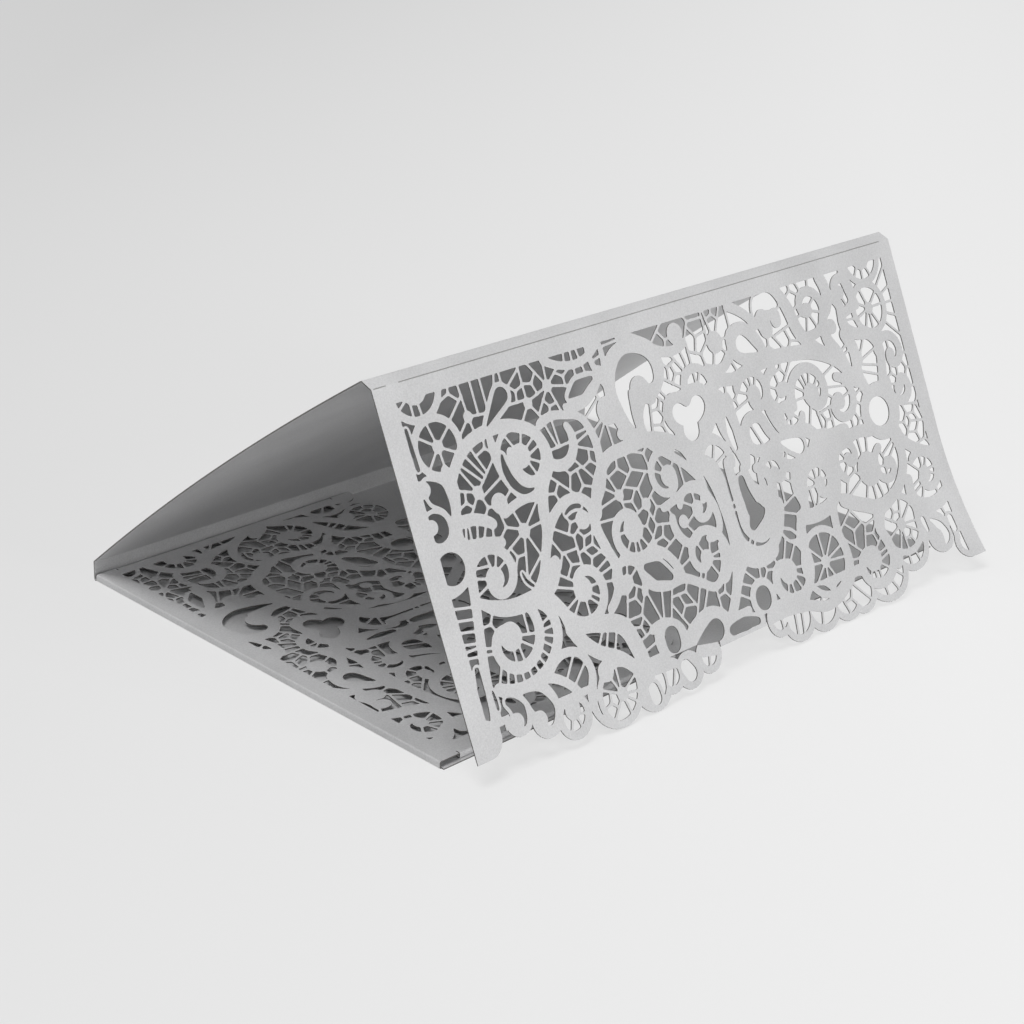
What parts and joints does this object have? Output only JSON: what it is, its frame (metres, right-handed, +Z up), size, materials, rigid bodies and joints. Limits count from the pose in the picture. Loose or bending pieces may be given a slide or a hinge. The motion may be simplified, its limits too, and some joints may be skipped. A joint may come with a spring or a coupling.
{
  "type": "laser-cut pocket fold invitation",
  "caption": "Blank pocket fold invitation card of one creased sheet, standing as a tent, with a laser-cut lace front flap and a lace pocket on its base panel.",
  "frame": {"origin": "centre of the base panel's underside, on the surface that the card stands on", "axes": "+X along the ridge, to the right of someone who faces the lace flap; +Y to the rear spine; +Z up"},
  "size_m": [0.178, 0.1443, 0.0807],
  "materials": {
    "card": "satin, fine shimmer"
  },
  "bodies": {
    "root": {"pocket_card": "card"}
  },
  "joints": []
}
